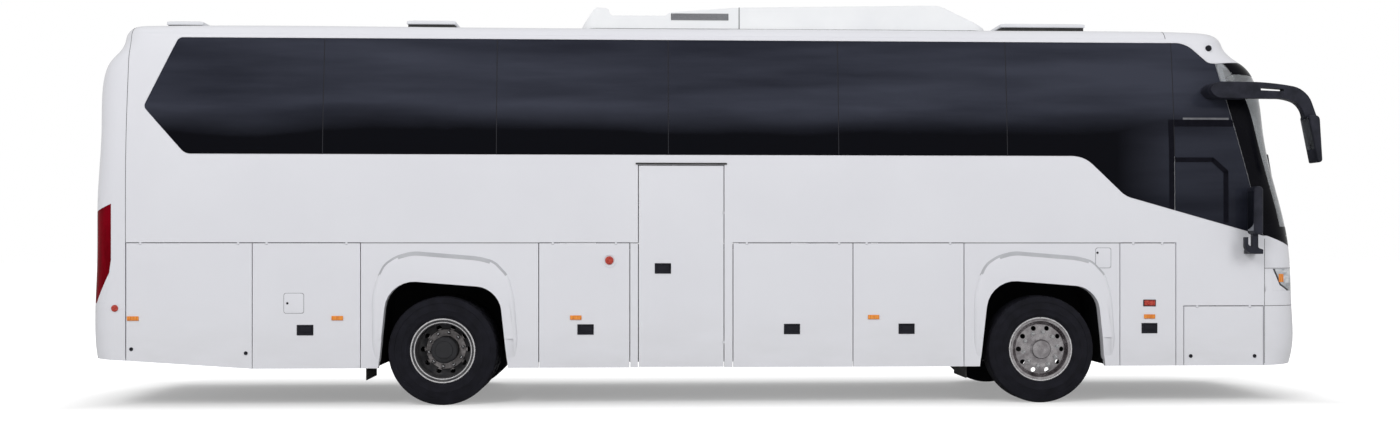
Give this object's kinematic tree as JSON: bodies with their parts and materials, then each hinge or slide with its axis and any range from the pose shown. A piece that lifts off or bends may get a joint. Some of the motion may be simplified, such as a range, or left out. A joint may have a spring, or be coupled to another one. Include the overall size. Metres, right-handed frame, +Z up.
{
  "type": "coach bus",
  "caption": "Touring coach with high saloon floor, luggage hold, bonded side glass, opening doors and flaps, steered front wheels and twin rear wheels.",
  "frame": {"origin": "on the ground, under the middle of the box around the whole coach", "axes": "+X forwards, +Y towards the left side with the entrance door, +Z up"},
  "size_m": [12.048, 3.1, 3.9338],
  "materials": {
    "body_paint": "glossy coach paint over metal and moulded panels",
    "white_plastic": "moulded cover",
    "tinted_glass": "dark tinted bonded glass",
    "clear_glass": "laminated glass",
    "red_lens": "moulded lens",
    "clear_lens": "clear lens over a bright reflector",
    "amber_lens": "moulded lens",
    "floor_covering": "vinyl on board",
    "plain_metal": "sheet lining",
    "black_plastic": "moulded plastic",
    "chassis_paint": "dark underbody paint",
    "cast_metal": "engine casting",
    "rubber": "black rubber",
    "seat_fabric": "woven moquette",
    "trim_plastic": "light trim",
    "polished_rim": "polished trim disc",
    "silver_rim": "silver wheel paint",
    "tyre": "road tyre"
  },
  "bodies": {
    "root": {"side_wall_right": "body_paint", "side_wall_left": "body_paint", "side_glass_right": "tinted_glass", "side_glass_left": "tinted_glass", "roof": "body_paint", "front_dome": "body_paint", "rear_wall": "body_paint", "rear_bumper": "body_paint", "rear_window": "tinted_glass", "tail_lamps": "red_lens", "front_cowl": "body_paint", "front_panel": "body_paint", "front_bumper": "body_paint", "headlamps": "clear_lens", "windscreen": "clear_glass", "saloon_floor": "floor_covering", "hold": "plain_metal", "wheel_housings": "black_plastic", "chassis_frame": "chassis_paint", "engine": "cast_metal", "rear_axle": "chassis_paint", "front_axle": "chassis_paint", "air_springs": "rubber", "passenger_seats": "seat_fabric", "driver_seat": "seat_fabric", "dashboard": "black_plastic", "steering_wheel": "black_plastic", "parcel_racks": "trim_plastic", "mirrors": "black_plastic", "roof_air_conditioner": "white_plastic", "wipers": "black_plastic", "side_lamps": "amber_lens", "mud_flaps": "rubber"},
    "emergency_door": {"emergency_door": "body_paint"},
    "engine_door": {"engine_door": "body_paint"},
    "door_arms": {"door_arms": "chassis_paint"},
    "entrance_door": {"entrance_door": "body_paint", "entrance_door_glass": "tinted_glass"},
    "knuckle_right": {"knuckle_right": "chassis_paint"},
    "knuckle_left": {"knuckle_left": "chassis_paint"},
    "wheel_front_right": {"wheel_front_right": "polished_rim", "tyre_front_right": "tyre"},
    "wheel_front_left": {"wheel_front_left": "polished_rim", "tyre_front_left": "tyre"},
    "wheel_rear_right": {"wheel_rear_right": "silver_rim", "tyres_rear_right": "tyre"},
    "wheel_rear_left": {"wheel_rear_left": "silver_rim", "tyres_rear_left": "tyre"},
    "engine_flap_right": {"engine_flap_right": "body_paint"},
    "locker_flap_right": {"locker_flap_right": "body_paint"},
    "rear_hold_flap_right": {"rear_hold_flap_right": "body_paint"},
    "middle_hold_flap_right": {"middle_hold_flap_right": "body_paint"},
    "front_hold_flap_right": {"front_hold_flap_right": "body_paint"},
    "battery_flap_right": {"battery_flap_right": "body_paint"},
    "corner_flap_right": {"corner_flap_right": "body_paint"},
    "engine_flap_left": {"engine_flap_left": "body_paint"},
    "locker_flap_left": {"locker_flap_left": "body_paint"},
    "rear_hold_flap_left": {"rear_hold_flap_left": "body_paint"},
    "middle_hold_flap_left": {"middle_hold_flap_left": "body_paint"},
    "front_hold_flap_left": {"front_hold_flap_left": "body_paint"}
  },
  "joints": [
    {"name": "engine_flap_right_hinge", "type": "hinge", "parent": "root", "child": "engine_flap_right", "pos_m": [-0.595, -1.2485, 1.5485], "axis": [-1, 0, 0], "range_deg": [0, 90]},
    {"name": "locker_flap_right_hinge", "type": "hinge", "parent": "root", "child": "locker_flap_right", "pos_m": [-0.595, -1.2485, 1.5485], "axis": [-1, 0, 0], "range_deg": [0, 90]},
    {"name": "rear_hold_flap_right_hinge", "type": "hinge", "parent": "root", "child": "rear_hold_flap_right", "pos_m": [-0.595, -1.2485, 1.5485], "axis": [-1, 0, 0], "range_deg": [0, 90]},
    {"name": "middle_hold_flap_right_hinge", "type": "hinge", "parent": "root", "child": "middle_hold_flap_right", "pos_m": [-0.595, -1.2485, 1.5485], "axis": [-1, 0, 0], "range_deg": [0, 90]},
    {"name": "front_hold_flap_right_hinge", "type": "hinge", "parent": "root", "child": "front_hold_flap_right", "pos_m": [-0.595, -1.2485, 1.5485], "axis": [-1, 0, 0], "range_deg": [0, 90]},
    {"name": "battery_flap_right_hinge", "type": "hinge", "parent": "root", "child": "battery_flap_right", "pos_m": [-0.595, -1.2485, 1.5485], "axis": [-1, 0, 0], "range_deg": [0, 90]},
    {"name": "corner_flap_right_hinge", "type": "hinge", "parent": "root", "child": "corner_flap_right", "pos_m": [-0.595, -1.2485, 0.9325], "axis": [-1, 0, 0], "range_deg": [0, 90]},
    {"name": "engine_flap_left_hinge", "type": "hinge", "parent": "root", "child": "engine_flap_left", "pos_m": [-0.595, 1.2485, 1.5485], "axis": [1, 0, 0], "range_deg": [0, 90]},
    {"name": "locker_flap_left_hinge", "type": "hinge", "parent": "root", "child": "locker_flap_left", "pos_m": [-0.595, 1.2485, 1.5485], "axis": [1, 0, 0], "range_deg": [0, 90]},
    {"name": "rear_hold_flap_left_hinge", "type": "hinge", "parent": "root", "child": "rear_hold_flap_left", "pos_m": [-0.595, 1.2485, 1.5485], "axis": [1, 0, 0], "range_deg": [0, 90]},
    {"name": "middle_hold_flap_left_hinge", "type": "hinge", "parent": "root", "child": "middle_hold_flap_left", "pos_m": [-0.595, 1.2485, 1.5485], "axis": [1, 0, 0], "range_deg": [0, 90]},
    {"name": "front_hold_flap_left_hinge", "type": "hinge", "parent": "root", "child": "front_hold_flap_left", "pos_m": [-0.595, 1.2485, 1.5485], "axis": [1, 0, 0], "range_deg": [0, 90]},
    {"name": "emergency_door_hinge", "type": "hinge", "parent": "root", "child": "emergency_door", "pos_m": [0.0955, -1.2485, 1.2], "axis": [0, 0, 1], "range_deg": [0, 90]},
    {"name": "engine_door_hinge", "type": "hinge", "parent": "root", "child": "engine_door", "pos_m": [-5.987, 0, 1.8135], "axis": [0, 1, 0], "range_deg": [0, 85]},
    {"name": "entrance_door_swing", "type": "hinge", "parent": "root", "child": "door_arms", "pos_m": [4.907, 1.15, 1.2], "axis": [0, 0, -1], "range_deg": [0, 105]},
    {"name": "entrance_door_levelling", "type": "hinge", "parent": "door_arms", "child": "entrance_door", "pos_m": [4.307, 1.15, 1.2], "axis": [0, 0, -1], "range_deg": [-105, 0]},
    {"name": "steering_right", "type": "hinge", "parent": "root", "child": "knuckle_right", "pos_m": [3.205, -0.95, 0.522], "axis": [0, 0, 1], "range_deg": [-40, 40]},
    {"name": "steering_left", "type": "hinge", "parent": "root", "child": "knuckle_left", "pos_m": [3.205, 0.95, 0.522], "axis": [0, 0, 1], "range_deg": [-40, 40]},
    {"name": "wheel_front_right_spin", "type": "hinge", "parent": "knuckle_right", "child": "wheel_front_right", "pos_m": [3.205, -1.0925, 0.522], "axis": [0, 1, 0], "continuous": true},
    {"name": "wheel_rear_right_spin", "type": "hinge", "parent": "root", "child": "wheel_rear_right", "pos_m": [-2.595, -0.9275, 0.522], "axis": [0, 1, 0], "continuous": true},
    {"name": "wheel_front_left_spin", "type": "hinge", "parent": "knuckle_left", "child": "wheel_front_left", "pos_m": [3.205, 1.0925, 0.522], "axis": [0, 1, 0], "continuous": true},
    {"name": "wheel_rear_left_spin", "type": "hinge", "parent": "root", "child": "wheel_rear_left", "pos_m": [-2.595, 0.9275, 0.522], "axis": [0, 1, 0], "continuous": true}
  ],
  "couplings": [
    {"joint": "entrance_door_levelling", "follows": "entrance_door_swing", "ratio": -1},
    {"joint": "steering_left", "follows": "steering_right", "ratio": 1}
  ]
}
